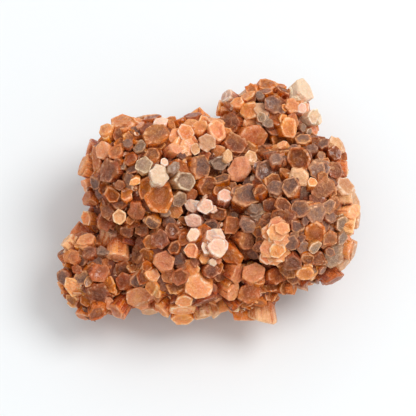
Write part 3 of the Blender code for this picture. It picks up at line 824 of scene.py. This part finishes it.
    def tone_for(self, lobe: Lobe, axis: Vector) -> Tone:
        """Draws a tone by a lobe's weights, or often a brighter one where the crystal lies across the view.

        Args:
            lobe: The lobe.
            axis: Which way the crystal points.

        Returns:
            The tone.
        """
        across = abs(axis.dot(TOWARDS)) < self.sidelong
        return self.picked(SIDELONG if across and self.looks.random() < self.sidelong_share else lobe.tones)

    def fill_wide(self) -> None:
        """Stands the solid's own filling crystals."""
        for name, lobe in LOBES.items():
            for index in range(self.wide_tries):
                stray = Vector([self.shapes.uniform(-1.0, 1.0) for _ in range(3)])
                way = (spiral(self.wide_tries, index) + stray / math.sqrt(self.wide_tries)).normalized()
                width = self.shapes.uniform(*self.wide_fill)
                proud = self.shapes.uniform(*self.wide_proud)
                end = lobe.skin_along(way)
                if self.is_buried(name, end, 1.0):
                    continue
                if self.is_free(end, width, self.wide_spacing):
                    made = self.clear_of_surface(self.at(lobe, end, width, proud, self.shapes))
                    self.keep(self.dressed(made, self.tone_for(lobe, made.axis)))

    def place_small(self) -> None:
        """Stands the crystals of the small table."""
        for name, across, up, width, tone, habit in SMALL_ENDS:
            made = self.at(LOBES[name], end_on_skin(name, across, up), width, self.small_proud, self.looks)
            self.keep(self.dressed(replace(made, listed=True), tone, habit))

    def place_columns(self) -> None:
        """Lays the crystals that show their sides."""
        for name, across, up, turn, facing, width, tone in COLUMNS:
            angle = math.radians(turn)
            axis = (math.cos(angle) * ACROSS + math.sin(angle) * UP + facing * TOWARDS).normalized()
            end = end_on_skin(name, across, up) + self.column_rise * TOWARDS
            made = self.at(LOBES[name], end, width, 0.0, self.looks)
            made = replace(made, axis=axis, length=self.column_length, listed=True)
            self.keep(self.dressed(made, tone, COLUMN))

    def fill_fine(self) -> None:
        """Stands finer crystals, and then druse, wherever the skin is still free."""
        for narrow, wide, low, high, spacing in self.rounds:
            for name, lobe in LOBES.items():
                for index in range(self.fine_tries):
                    stray = Vector(self.scattered(1.0)) / math.sqrt(self.fine_tries)
                    end = lobe.skin_along((spiral(self.fine_tries, index) + stray).normalized())
                    width = self.looks.uniform(narrow, wide)
                    if self.is_buried(name, end, self.fine_buried) or not self.is_free(end, width, spacing):
                        continue
                    proud = self.looks.uniform(low, high)
                    made = self.clear_of_surface(self.at(lobe, end, width, proud, self.looks))
                    tone = DRUSE if width < Crystal.DRUSE_WIDTH else self.tone_for(lobe, made.axis)
                    self.keep(self.dressed(made, tone))

    def leaning(self, crystal: Crystal) -> Crystal:
        """Raises or sinks a crystal a little and leans it about its end, unless it carries the cluster.

        Args:
            crystal: The crystal where the solid has it.

        Returns:
            The crystal where it is seen.
        """
        if crystal.habit is FOOT:
            return crystal
        spread = self.listed_lean if crystal.listed else self.lean
        lean = Vector(self.scattered(spread))
        sideways = max(0.0, 1.0 - abs(crystal.axis.dot(TOWARDS)) / self.sidelong)
        if crystal.listed:
            rise = self.looks.uniform(*self.listed_lift)
            rise += self.accent_lift if crystal.tone in ACCENTS else 0.0
            rise -= sideways * (rise + (0.0 if crystal.habit is COLUMN else self.inset))
            end = crystal.end + rise * crystal.axis + self.side_shift * sideways * TOWARDS
        else:
            rise = self.looks.uniform(*self.lift) - self.looks.random() * self.side_sink * sideways
            end = crystal.end + (rise if crystal.axis.z > self.hanging else min(rise, 0.0)) * crystal.axis
        return replace(crystal, end=end, axis=(crystal.axis + lean).normalized())

    def sheaf(self, crystal: Crystal) -> Iterator[Crystal]:
        """Splits a crystal into a sheaf, one in the middle and the others round it.

        Args:
            crystal: The crystal whose width the sheaf fills.

        Yields:
            The sheaf's crystals.
        """
        turned = crystal.placed().to_3x3()
        for number in range(self.sheaf_round + 1):
            angle = math.tau * (number + self.either_way(self.sheaf_turn)) / self.sheaf_round
            out = 0.0 if number == self.sheaf_round else crystal.width * self.looks.uniform(*self.sheaf_out)
            proud = self.looks.uniform(*self.sheaf_proud) * crystal.width
            shift = Vector((out * math.cos(angle), out * math.sin(angle), proud))
            lean = Vector((*self.scattered(self.sheaf_lean, 2), 1.0))
            yield replace(
                crystal,
                end=crystal.end + turned @ shift,
                axis=(turned @ lean).normalized(),
                width=crystal.width * self.looks.uniform(*self.sheaf_width),
                habit=FLAT,
                roll=crystal.roll + self.either_way(self.sheaf_turn),
                chance=self.looks.random(),
            )

    def twins(self, crystal: Crystal) -> Iterator[Crystal]:
        """Grows narrower crystals on a wide one's sides, parallel to it and a little lower.

        Args:
            crystal: The wide one.

        Yields:
            The narrower ones.
        """
        if crystal.width < self.twinned_width or crystal.habit in (COLUMN, FOOT):
            return
        turned = crystal.placed().to_3x3()
        for number in self.looks.sample(range(SIDES), k=self.twins_tried):
            if self.looks.random() > self.twin_share:
                continue
            sink = self.looks.uniform(*self.twin_sink) * crystal.width
            shift = crystal.corner(number) * self.looks.uniform(*self.twin_out) + Vector((0.0, 0.0, -sink))
            yield replace(
                crystal,
                end=crystal.end + turned @ shift,
                width=crystal.width * self.looks.uniform(*self.twin_width),
                length=self.twin_length * crystal.length,
                habit=FLAT,
                roll=crystal.roll + self.either_way(self.twin_turn),
                chance=min(1.0, max(0.0, crystal.chance + self.either_way(self.twin_chance))),
            )

    def grown(self) -> list[Crystal]:
        """Grows the cluster.

        Returns:
            Its crystals.
        """
        self.place_listed()
        self.fill_wide()
        log.info("%d crystals as in the packed solid", len(self.placed))
        self.place_small()
        self.place_columns()
        self.fill_fine()
        crystals = []
        for crystal in map(self.leaning, self.placed):
            if crystal.habit is SHEAF:
                crystals.extend(self.sheaf(crystal))
            elif crystal.habit is not ABSENT:
                crystals.append(crystal)
                crystals.extend(self.twins(crystal))
        return crystals


def node_group(name: str, inputs: dict[str, object], outputs: dict[str, str]) -> NodeTree:
    """A shader node group with named sockets.

    Args:
        name: The group's name.
        inputs: The default of each input; its kind follows from it: a number, a colour or None for a vector.
        outputs: The kind of each output, Float or Color.

    Returns:
        The group, with its input and output nodes in place.
    """
    group = bpy.data.node_groups.new(name, "ShaderNodeTree")
    for label, default in inputs.items():
        kind = "Vector" if default is None else "Float" if isinstance(default, float) else "Color"
        socket = group.interface.new_socket(label, in_out="INPUT", socket_type=f"NodeSocket{kind}")
        if default is not None:
            socket.default_value = default
    for label, kind in outputs.items():
        group.interface.new_socket(label, in_out="OUTPUT", socket_type=f"NodeSocket{kind}")
    group.nodes.new("NodeGroupInput")
    group.nodes.new("NodeGroupOutput")
    return group


@dataclass
class Wiring:
    """Short ways to add nodes to a tree. A value may be a number, a colour or the socket that feeds it."""

    tree: NodeTree

    def feed(self, node: Node, inputs: dict[str | int, object]) -> None:
        """Sets or links a node's inputs.

        Args:
            node: The node.
            inputs: The value of each socket, by the socket's name or number.
        """
        for name, value in inputs.items():
            if isinstance(value, NodeSocket):
                self.tree.links.new(value, node.inputs[name])
            else:
                node.inputs[name].default_value = value

    def add(self, kind: str, inputs: dict[str | int, object], **settings: object) -> Node:
        """A new node.

        Args:
            kind: The node's type, without its ShaderNode prefix.
            inputs: The value of each socket, by the socket's name or number.
            **settings: The node's own properties.

        Returns:
            The node.
        """
        node = self.tree.nodes.new(f"ShaderNode{kind}")
        for name, value in settings.items():
            setattr(node, name, value)
        self.feed(node, inputs)
        return node

    def math(self, operation: str, *values: object, clamp: bool = False) -> NodeSocket:
        """The result of a sum on values."""
        return self.add("Math", dict(enumerate(values)), operation=operation, use_clamp=clamp).outputs[0]

    def plus(self, first: object, second: object) -> NodeSocket:
        """Both values together."""
        return self.math("ADD", first, second)

    def times(self, first: object, second: object) -> NodeSocket:
        """One value multiplied by the other."""
        return self.math("MULTIPLY", first, second)

    def swing(self, value: object, amount: float) -> NodeSocket:
        """A value from 0 to 1 turned into one from minus to plus half the amount."""
        return self.times(self.math("SUBTRACT", value, 0.5), amount)

    def grade(self, value: object, least: float, more: float) -> NodeSocket:
        """A value from 0 to 1 turned into one that starts from the least and rises by so much more."""
        return self.plus(least, self.times(value, more))

    def ramp(self, value: object, low: object, high: object) -> NodeSocket:
        """0 below low and 1 above high, with a smooth rise between."""
        inputs = {"Value": value, "From Min": low, "From Max": high}
        return self.add("MapRange", inputs, interpolation_type="SMOOTHSTEP").outputs[0]

    def fall(self, value: object, low: float, high: float) -> NodeSocket:
        """1 below low and 0 above high, with a smooth fall between."""
        return self.math("SUBTRACT", 1.0, self.ramp(value, low, high))

    def mask(self, value: object, low: float, high: float, most: object) -> NodeSocket:
        """0 below low and the most above high, with a smooth rise between."""
        return self.times(self.ramp(value, low, high), most)

    def mix(self, factor: object, first: object, second: object) -> NodeSocket:
        """The second colour over the first."""
        return self.add("Mix", {0: factor, 6: first, 7: second}, data_type="RGBA").outputs[2]

    def noise(self, vector: object, scale: float, detail: float) -> NodeSocket:
        """A noise from 0 to 1 over this vector."""
        return self.add("TexNoise", {"Vector": vector, "Scale": scale, "Detail": detail}).outputs[0]

    def drawn_out(self, vector: object, scale: Triple, detail: float) -> NodeSocket:
        """A noise from 0 to 1 with a scale for each axis of the vector."""
        scaled = self.add("VectorMath", {0: vector, 1: scale}, operation="MULTIPLY")
        return self.noise(scaled.outputs[0], 1.0, detail)

    def attribute(self, name: str, output: str = "Vector") -> NodeSocket:
        """What is stored on the mesh by this name."""
        return self.add("Attribute", {}, attribute_name=name).outputs[output]

    def bump(self, height: object, strength: float, depth: float) -> NodeSocket:
        """The normal over a relief of this depth, in millimetres."""
        inputs = {"Height": height, "Strength": strength, "Distance": depth * MM}
        return self.add("Bump", inputs).outputs["Normal"]


BLACK = (0.0, 0.0, 0.0, 1.0)
WHITE = (1.0, 1.0, 1.0, 1.0)
# The tints of a crystal; the last is the colour of the painted shade that deep places take
TINTS = ("Cap", "Rim", "Core", "Side", "Root", "Pale", "Painted_shade")


@dataclass(frozen=True)
class GrowthColour:
    """What colours a crystal: a cap with a rim and a core, and sides that darken to the root.

    The rim's orange is partly painted glow of light through the thin edge. Pale painted highlights lie on the
    cap's edges and painted glints over the fine grain, and painted shade darkens what lies deep under the
    lobes' skin.

    A noise has its scale, of one value or of three, and its detail. A mask has the values between which it
    rises, and often its most. Two numbers for a chance are its least and how much more it may come to.
    """

    reshuffle: float = 17.3  # makes another chance of a crystal's own
    cloud: Span = (0.36, 3.0)
    mottle: Span = (0.9, 4.0)
    fine: Span = (2.8, 3.0)
    streaks: tuple[Triple, float] = ((2.4, 2.4, 0.14), 3.0)
    bands: tuple[Triple, float] = ((0.75, 0.75, 0.06), 2.0)
    unevenness: float = 0.55
    core: Span = (0.2, 0.75)
    core_chance: Span = (0.45, 0.55)
    rim: Span = (0.02, 0.34)
    rim_chance: Span = (0.4, 0.5)
    stain: Triple = (0.50, 0.68, 0.5)
    root_swing: float = 6.5
    root_start: float = 0.4
    veins: Triple = (0.5, 0.66, 0.6)
    dark: Triple = (0.5, 0.6, 0.85)
    side: Span = (0.25, 0.9)
    # Painted highlight on the cap's edges: where it lies, how strong it is, and the patches of the mottle
    # that carry it
    edge: Span = (0.03, 0.26)
    edge_highlight: float = 0.8
    edge_pick: Span = (0.46, 0.6)
    edge_pick_swing: float = 0.2
    # Painted glints: the band of the fine grain where small pale spots lie
    painted_glint_band: Span = (0.60, 0.72)
    crack_at: float = 0.52
    crack: Span = (0.004, 0.022)
    crack_most: float = 0.4
    speck: Span = (0.28, 0.38)
    speck_most: float = 0.35
    mottle_shade: float = 0.75
    fine_shade: float = 0.95
    saturation: float = 1.01
    saturation_swing: float = 0.1
    hue: float = 0.502
    hue_swing: float = 0.012
    cloud_hue: float = 0.03
    value: float = 0.99
    # Painted shade of deep places: the depths under the skin between which it deepens, and its most
    painted_shade: Triple = (1.0, 4.6, 0.92)
    glint: Span = (0.46, 0.6)
    glint_depth: Span = (2.5, 0.8)  # rises towards the skin

    def group(self) -> NodeTree:
        """Wires the effect up.

        Returns:
            The group. It also puts out masks of the sides, of the fine grain and of what glints.
        """
        group = node_group(
            "growth colour",
            {
                "Place": None, "Grain": None, "Sunk": 0.0, **dict.fromkeys(TINTS, BLACK),
                "Core Share": 0.5, "Side Reach": 4.0, "Spread": 0.3, "Painted Glints": 0.5,
            },
            {"Color": "Color", "Side Mask": "Float", "Fine": "Float", "Glint": "Float"},
        )
        given = group.nodes["Group Input"].outputs
        grain = given["Grain"]
        wire = Wiring(group)
        middle, below, chance = wire.add("SeparateXYZ", {0: given["Place"]}).outputs
        other_chance = wire.math("FRACT", wire.times(chance, self.reshuffle))
        cloud = wire.noise(grain, *self.cloud)
        mottle = wire.noise(grain, *self.mottle)
        fine = wire.noise(grain, *self.fine)
        streaks = wire.drawn_out(grain, *self.streaks)
        bands = wire.drawn_out(grain, *self.bands)

        wavering = wire.plus(middle, wire.swing(wire.plus(mottle, wire.swing(cloud, 1.0)), self.unevenness))
        core = wire.mask(wavering, *self.core, given["Core Share"])
        core = wire.times(core, wire.grade(other_chance, *self.core_chance))
        # Rim: towards its edge the cap turns to the rim's orange, partly the crystal's own colour and partly
        # painted glow of light through the thin edge; stains take it too
        rim = wire.times(wire.fall(wavering, *self.rim), wire.grade(other_chance, *self.rim_chance))
        rim = wire.math("MAXIMUM", rim, wire.mask(cloud, *self.stain))
        cap = wire.mix(rim, wire.mix(core, given["Cap"], given["Core"]), given["Rim"])

        deep = wire.plus(below, wire.swing(streaks, self.root_swing))
        side = wire.mix(wire.ramp(deep, self.root_start, given["Side Reach"]), given["Side"], given["Root"])
        side = wire.mix(wire.mask(streaks, *self.veins), side, given["Rim"])
        side = wire.mix(wire.mask(bands, *self.dark), side, given["Root"])
        on_side = wire.ramp(below, *self.side)
        colour = wire.mix(on_side, cap, side)

        # Painted highlight: pale along the edges of the cap, in patches that the mottle picks
        edge_pick = wire.ramp(wire.plus(mottle, wire.swing(other_chance, self.edge_pick_swing)), *self.edge_pick)
        edge = wire.times(wire.fall(wire.plus(middle, below), *self.edge), self.edge_highlight)
        # Painted glints: small pale spots where the fine grain runs high, beside the edge highlight
        bright = wire.math("MAXIMUM", wire.times(edge_pick, edge), wire.mask(fine, *self.painted_glint_band, given["Painted Glints"]))
        off_crack = wire.math("ABSOLUTE", wire.math("SUBTRACT", mottle, self.crack_at))
        crack = wire.times(wire.fall(off_crack, *self.crack), self.crack_most)
        # The pale colour over the rest: painted highlights and glints, and real cracks
        colour = wire.mix(wire.math("MAXIMUM", bright, crack), colour, given["Pale"])
        colour = wire.mix(wire.times(wire.fall(fine, *self.speck), self.speck_most), colour, given["Root"])

        shade = wire.plus(wire.math("SUBTRACT", chance, 0.5), wire.swing(mottle, self.mottle_shade))
        shade = wire.times(wire.plus(shade, wire.swing(fine, self.fine_shade)), given["Spread"])
        hue = wire.plus(self.hue, wire.swing(chance, self.hue_swing))
        hue = wire.plus(hue, wire.swing(cloud, self.cloud_hue))
        lit = wire.add("HueSaturation", {
            "Color": colour, "Hue": hue, "Value": wire.plus(self.value, shade),
            "Saturation": wire.plus(self.saturation, wire.swing(other_chance, self.saturation_swing)),
        })
        # Painted shade: the colour darkens towards the shade colour the deeper a point lies under the lobes'
        # skin
        painted_shade = wire.mask(given["Sunk"], *self.painted_shade)
        wire.feed(group.nodes["Group Output"], {
            "Color": wire.mix(painted_shade, lit.outputs[0], given["Painted_shade"]),
            "Side Mask": on_side,
            "Fine": fine,
            "Glint": wire.mask(mottle, *self.glint, wire.ramp(given["Sunk"], *self.glint_depth)),
        })
        return group


@dataclass(frozen=True)
class GrowthRelief:
    """What gives a crystal its fine relief: frosted caps, and sides striated lengthwise. Noises as above."""

    frost: Span = (2.2, 5.0)
    lines: tuple[Triple, float] = ((4.0, 4.0, 0.2), 2.0)
    swell: Span = (0.55, 1.0)

    def group(self) -> NodeTree:
        """Wires the effect up.

        Returns:
            The group, which puts out a height.
        """
        group = node_group(
            "growth relief",
            {"Grain": None, "Side Mask": 0.0, "Striation": 1.0, "Frost": 0.8, "Swell": 3.0},
            {"Height": "Float"},
        )
        given = group.nodes["Group Input"].outputs
        wire = Wiring(group)
        frost = wire.times(wire.noise(given["Grain"], *self.frost), given["Frost"])
        lines = wire.times(wire.drawn_out(given["Grain"], *self.lines), given["Striation"])
        swell = wire.times(wire.noise(given["Grain"], *self.swell), given["Swell"])
        height = wire.plus(wire.plus(frost, wire.times(lines, given["Side Mask"])), swell)
        wire.feed(group.nodes["Group Output"], {"Height": height})
        return group


def new_material(name: str) -> tuple[Material, Wiring, Node]:
    """A new material.

    Args:
        name: Its name.

    Returns:
        The material, its wiring and its shader.
    """
    made = bpy.data.materials.new(name)
    made.use_nodes = True
    return made, Wiring(made.node_tree), made.node_tree.nodes["Principled BSDF"]


@dataclass(frozen=True)
class CrystalFinish:
    """The colours, linear, and the gloss of one tone of crystal."""

    name: str
    cap: Triple
    # Rim: partly the crystal's orange, partly painted glow at the cap's thin edge; stains and veins take it
    # too
    rim: Triple
    core: Triple
    side: Triple
    root: Triple
    # The colour of the painted highlights and glints, and of real cracks
    pale: Triple = (0.76, 0.38, 0.20)
    # The painted shade that places deep under the skin take
    painted_shade: Triple = (0.16, 0.024, 0.004)
    core_share: float = 0.85
    side_reach: float = 3.6
    spread: float = 0.55
    # How strong the painted glints are
    painted_glints: float = 0.28
    cap_roughness: float = 0.46
    side_roughness: float = 0.3
    least_roughness: float = 0.16
    roughness_swing: float = 0.7
    relief: float = 0.95
    relief_depth: float = 0.35
    glint: float = 0.6
    glint_roughness: float = 0.13
    shine: float = 0.15
    glow: float = 0.2
    glow_radius: Triple = (1.0, 0.62, 0.42)
    glow_depth: float = 1.6

    def material(self, colour: NodeTree, relief: NodeTree) -> Material:
        """The material of this finish.

        Args:
            colour: The group that colours a crystal.
            relief: The group that gives its fine relief.

        Returns:
            The material.
        """
        made, wire, shader = new_material(self.name)
        grain = wire.attribute("grain")
        tints = {name: (*getattr(self, name.lower()), 1.0) for name in TINTS}
        tinted = wire.add("Group", {
            "Place": wire.attribute("place"), "Grain": grain, "Sunk": wire.attribute("sunk", "Fac"), **tints,
            "Core Share": self.core_share, "Side Reach": self.side_reach,
            "Spread": self.spread, "Painted Glints": self.painted_glints,
        }, node_tree=colour).outputs
        on_side = tinted["Side Mask"]
        raised = wire.add("Group", {"Grain": grain, "Side Mask": on_side}, node_tree=relief)
        gloss = {"Value": on_side, "To Min": self.cap_roughness, "To Max": self.side_roughness}
        rough = wire.add("MapRange", gloss).outputs[0]
        uneven = wire.math("ADD", rough, wire.swing(tinted["Fine"], self.roughness_swing), clamp=True)
        wire.feed(shader, {
            "Base Color": tinted["Color"],
            "Roughness": wire.math("MAXIMUM", uneven, self.least_roughness),
            "Normal": wire.bump(raised.outputs["Height"], self.relief, self.relief_depth),
            "Coat Weight": wire.times(tinted["Glint"], self.glint),
            "Coat Roughness": self.glint_roughness,
            "Specular IOR Level": self.shine,
            "Subsurface Weight": self.glow,
            "Subsurface Radius": self.glow_radius,
            "Subsurface Scale": self.glow_depth * MM,
        })
        return made


FINISHES = {
    MAUVE: CrystalFinish(
        "mauve crystal", (0.265, 0.124, 0.082), (0.47, 0.172, 0.078), (0.155, 0.078, 0.058),
        (0.66, 0.150, 0.021), (0.21, 0.030, 0.005),
    ),
    BROWN: CrystalFinish(
        "brown crystal", (0.31, 0.094, 0.038), (0.49, 0.132, 0.036), (0.175, 0.055, 0.025),
        (0.66, 0.136, 0.015), (0.21, 0.027, 0.004),
    ),
    RUST: CrystalFinish(
        "rust crystal", (0.44, 0.110, 0.030), (0.62, 0.148, 0.028), (0.23, 0.060, 0.019),
        (0.70, 0.143, 0.013), (0.22, 0.025, 0.003),
    ),
    AMBER: CrystalFinish(
        "amber crystal", (0.70, 0.228, 0.076), (0.86, 0.33, 0.120), (0.47, 0.135, 0.045),
        (0.84, 0.220, 0.032), (0.40, 0.056, 0.007), core_share=0.6, pale=(0.94, 0.56, 0.35),
        painted_shade=(0.25, 0.040, 0.006), side_reach=7.0, glow=0.35, spread=0.4,
    ),
    PEACH: CrystalFinish(
        "peach crystal", (0.84, 0.300, 0.118), (0.93, 0.39, 0.17), (0.66, 0.20, 0.08), (0.90, 0.29, 0.065),
        (0.52, 0.09, 0.014), core_share=0.7, pale=(0.96, 0.68, 0.50), painted_shade=(0.25, 0.045, 0.008),
        side_reach=6.5, glow=0.3, spread=0.3,
    ),
    CREAM: CrystalFinish(
        "cream crystal", (0.81, 0.55, 0.35), (0.87, 0.65, 0.46), (0.77, 0.48, 0.28), (0.91, 0.67, 0.46),
        (0.90, 0.57, 0.33), core_share=0.4, pale=(0.97, 0.82, 0.70), painted_shade=(0.40, 0.11, 0.03),
        side_reach=8.0, glow=0.25, spread=0.2,
    ),
    ROSE: CrystalFinish(
        "rose crystal", (0.92, 0.53, 0.37), (0.96, 0.63, 0.48), (0.82, 0.40, 0.26), (0.92, 0.40, 0.20),
        (0.50, 0.12, 0.045), core_share=0.5, pale=(0.98, 0.84, 0.76), painted_shade=(0.30, 0.06, 0.02),
        glow=0.4, spread=0.2,
    ),
    GREY: CrystalFinish(
        "grey crystal", (0.31, 0.175, 0.112), (0.48, 0.22, 0.105), (0.20, 0.120, 0.085), (0.50, 0.16, 0.045),
        (0.18, 0.042, 0.012), pale=(0.74, 0.50, 0.36),
    ),
    SAND: CrystalFinish(
        "sand crystal", (0.72, 0.36, 0.18), (0.86, 0.45, 0.24), (0.56, 0.25, 0.12), (0.86, 0.43, 0.20),
        (0.52, 0.11, 0.018), core_share=0.5, pale=(0.95, 0.70, 0.50), painted_shade=(0.28, 0.05, 0.012),
        side_reach=6.5, glow=0.2, spread=0.35,
    ),
    SMOKE: CrystalFinish(
        "smoke crystal", (0.36, 0.215, 0.14), (0.43, 0.25, 0.155), (0.31, 0.18, 0.13), (0.56, 0.28, 0.13),
        (0.34, 0.11, 0.03), core_share=0.6, pale=(0.80, 0.60, 0.42), painted_shade=(0.22, 0.05, 0.015),
        side_reach=6.0, glow=0.2, spread=0.35,
    ),
    DRUSE: CrystalFinish(
        "druse", (0.26, 0.070, 0.026), (0.42, 0.10, 0.03), (0.17, 0.05, 0.025), (0.32, 0.06, 0.010),
        (0.16, 0.022, 0.003), pale=(0.92, 0.62, 0.44), spread=0.9, painted_glints=0.6,
    ),
}


CREASE = math.radians(24.0)  # edges that turn by more look sharp


def new_object(name: str, data: ID) -> Object:
    """A new object in the scene.

    Args:
        name: Its name.
        data: Its mesh, lamp or lens.

    Returns:
        The object.
    """
    made = bpy.data.objects.new(name, data)
    bpy.context.scene.collection.objects.link(made)
    return made


def mesh_object(mesh: BMesh, name: str, material: Material) -> Object:
    """A new object of a mesh in the making.

    Args:
        mesh: The mesh, in metres. It is freed.
        name: The object's name and its mesh's.
        material: What it wears.

    Returns:
        The object.
    """
    data = bpy.data.meshes.new(name)
    mesh.to_mesh(data)
    mesh.free()
    data.materials.append(material)
    return new_object(name, data)


def add_piece(mesh: BMesh, name: str, material: Material) -> None:
    """Adds a piece of the cluster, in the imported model's place, with its depth under the skin stored.

    Args:
        mesh: The piece in millimetres, in the layout's own frame. It is freed.
        name: The piece's name.
        material: What it wears.
    """
    # How deep each point lies under the skin, which sets the painted shade of deep places and where the coat
    # glints
    sunk = sunk_below_skin(np.array([vert.co for vert in mesh.verts]))
    bmesh.ops.translate(mesh, verts=mesh.verts, vec=-LAYOUT_ORIGIN)
    bmesh.ops.scale(mesh, verts=mesh.verts, vec=Vector((MM, MM, MM)))
    for face in mesh.faces:
        face.smooth = True
    for edge in mesh.edges:
        edge.smooth = edge.calc_face_angle(math.pi) < CREASE
    made = mesh_object(mesh, name, material)
    made.data.attributes.new("sunk", "FLOAT", "POINT").data.foreach_set("value", sunk.astype(np.float32))
    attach(made, BODY)
    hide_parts(NODE)
    log.info("%s: %d triangles", name, sum(len(face.vertices) - 2 for face in made.data.polygons))


@dataclass
class Crystals:
    """The crystals of the cluster, one piece for each tone."""

    growth: Growth = field(default_factory=Growth)
    ground_gap: float = 0.25  # how far all but the feet stay above the resting surface

    def cells(self, count: int) -> Iterator[tuple[float, ...]]:
        """Splits a map into rows of equal parts.

        Args:
            count: How many parts are asked for.

        Yields:
            Left, bottom, width and height of each.
        """
        columns = math.ceil(math.sqrt(count))
        rows = math.ceil(count / columns)
        for index in range(count):
            row, column = divmod(index, columns)
            yield column / columns, row / rows, 1.0 / columns, 1.0 / rows

    def joined(self, crystals: list[Crystal]) -> BMesh:
        """Works crystals and joins them.

        Args:
            crystals: The crystals.

        Returns:
            One mesh with each of them in its place. What isn't a foot is lifted where it would touch the
            surface.
        """
        whole = bmesh.new()
        carrier = bpy.data.meshes.new("crystal")
        for crystal, cell in zip(crystals, self.cells(len(crystals))):
            mesh = crystal.worked(cell)
            bmesh.ops.transform(mesh, matrix=crystal.placed(), verts=mesh.verts)
            lift = self.ground_gap - min(vert.co.z for vert in mesh.verts)
            if crystal.habit is not FOOT and lift > 0.0:
                bmesh.ops.translate(mesh, verts=mesh.verts, vec=Vector((0.0, 0.0, lift)))
            mesh.to_mesh(carrier)
            mesh.free()
            whole.from_mesh(carrier, face_normals=False, vertex_normals=False)
        bpy.data.meshes.remove(carrier)
        return whole

    def build(self) -> None:
        """Builds the pieces and dresses them."""
        colour = GrowthColour().group()
        relief = GrowthRelief().group()
        grown = self.growth.grown()
        log.info("%d crystals", len(grown))
        for tone, finish in FINISHES.items():
            mesh = self.joined([crystal for crystal in grown if crystal.tone is tone])
            add_piece(mesh, f"{tone.value}_crystals", finish.material(colour, relief))


@dataclass
class Stone:
    """The massive hearts of the lobes, which the crystals stand in."""

    share: float = 0.84
    fineness: int = 4
    lump_grain: float = 0.45
    lump: float = 1.3
    roughness: float = 0.6
    dark: Triple = (0.13, 0.025, 0.006)
    light: Triple = (0.32, 0.075, 0.02)
    patches: Span = (200.0, 4.0)  # the scale and detail of their noise
    patch_edge: Span = (0.35, 0.7)
    grains: float = 900.0
    relief: float = 0.8
    relief_depth: float = 0.6

    def material(self) -> Material:
        """Dark red-brown stone with a fine druse on it.

        Returns:
            The material.
        """
        made, wire, shader = new_material("heart stone")
        place = wire.add("TexCoord", {}).outputs["Object"]
        grains = wire.add("TexVoronoi", {"Vector": place, "Scale": self.grains}).outputs["Distance"]
        patches = wire.ramp(wire.noise(place, *self.patches), *self.patch_edge)
        wire.feed(shader, {
            "Base Color": wire.mix(patches, (*self.dark, 1.0), (*self.light, 1.0)),
            "Normal": wire.bump(grains, self.relief, self.relief_depth),
            "Roughness": self.roughness,
        })
        return made

    def build(self) -> None:
        """Builds the piece and dresses it."""
        mesh = bmesh.new()
        for lobe in LOBES.values():
            place = Matrix.Translation(lobe.centre) @ Matrix.Diagonal((*(lobe.radii * self.share), 1.0))
            bmesh.ops.create_icosphere(mesh, subdivisions=self.fineness, radius=1.0, matrix=place)
        for vert in mesh.verts:
            vert.co += noise.noise_vector(self.lump_grain * vert.co) * self.lump
        add_piece(mesh, "heart_stone", self.material())


@dataclass
class Studio:
    """A pale floor, soft light and the camera."""

    floor_size: float = 3.0
    floor_colour: Triple = (0.835, 0.865, 0.88)
    floor_roughness: float = 0.9
    floor_shine: float = 0.1
    sky: float = 0.78
    key_power: float = 6.3
    key_size: float = 0.6
    key_place: Triple = (0.54, 0.15, 0.96)
    distance: float = 1.4
    frame_width: float = 0.1248
    shift_across: float = 0.3
    shift_up: float = -2.1

    def floor(self) -> None:
        """The plain floor, which isn't part of the object."""
        paper, wire, shader = new_material("floor paper")
        wire.feed(shader, {
            "Base Color": (*self.floor_colour, 1.0),
            "Roughness": self.floor_roughness,
            "Specular IOR Level": self.floor_shine,
        })
        mesh = bmesh.new()
        bmesh.ops.create_grid(mesh, x_segments=1, y_segments=1, size=0.5 * self.floor_size)
        made = mesh_object(mesh, "floor", paper)
        made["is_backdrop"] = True

    def lights(self) -> None:
        """An even white sky and one large soft lamp from the upper right."""
        world = bpy.data.worlds.new("sky")
        world.use_nodes = True
        sky = {"Color": WHITE, "Strength": self.sky}
        Wiring(world.node_tree).feed(world.node_tree.nodes["Background"], sky)
        bpy.context.scene.world = world
        lamp = bpy.data.lights.new("key", "AREA")
        lamp.shape = "DISK"
        lamp.size = self.key_size
        lamp.energy = self.key_power
        made = new_object("key", lamp)
        made.location = self.key_place
        made.rotation_euler = Vector(self.key_place).to_track_quat("Z", "Y").to_euler()

    def camera(self) -> None:
        """The camera, which looks steeply down from the front through a long lens."""
        lens = bpy.data.cameras.new("camera")
        lens.sensor_fit = "HORIZONTAL"
        lens.angle = 2.0 * math.atan(0.5 * self.frame_width / self.distance)
        made = new_object("camera", lens)
        aim = PLANE_MIDDLE - LAYOUT_ORIGIN + self.shift_across * ACROSS + self.shift_up * UP
        made.location = aim * MM + self.distance * TOWARDS
        made.rotation_euler = TOWARDS.to_track_quat("Z", "Y").to_euler()
        bpy.context.scene.camera = made

    def build(self) -> None:
        """Sets the whole studio up."""
        self.floor()
        self.lights()
        self.camera()
        bpy.context.scene.view_settings.view_transform = "Standard"


def write_sizes() -> None:
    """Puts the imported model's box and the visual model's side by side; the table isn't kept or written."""
    boxes = {
        name: [list(map(float, corner)) for corner in box]
        for name, box in (("cad", cad_box), ("visual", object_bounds()))
    }


def main() -> None:
    """Builds the studio and every piece of the cluster."""
    logging.basicConfig(level=logging.INFO, format="%(name)s: %(message)s")
    noise.seed_set(NOISE_SEED)
    Studio().build()
    Stone().build()
    Crystals().build()
    write_sizes()


if __name__ == "__main__":
    main()
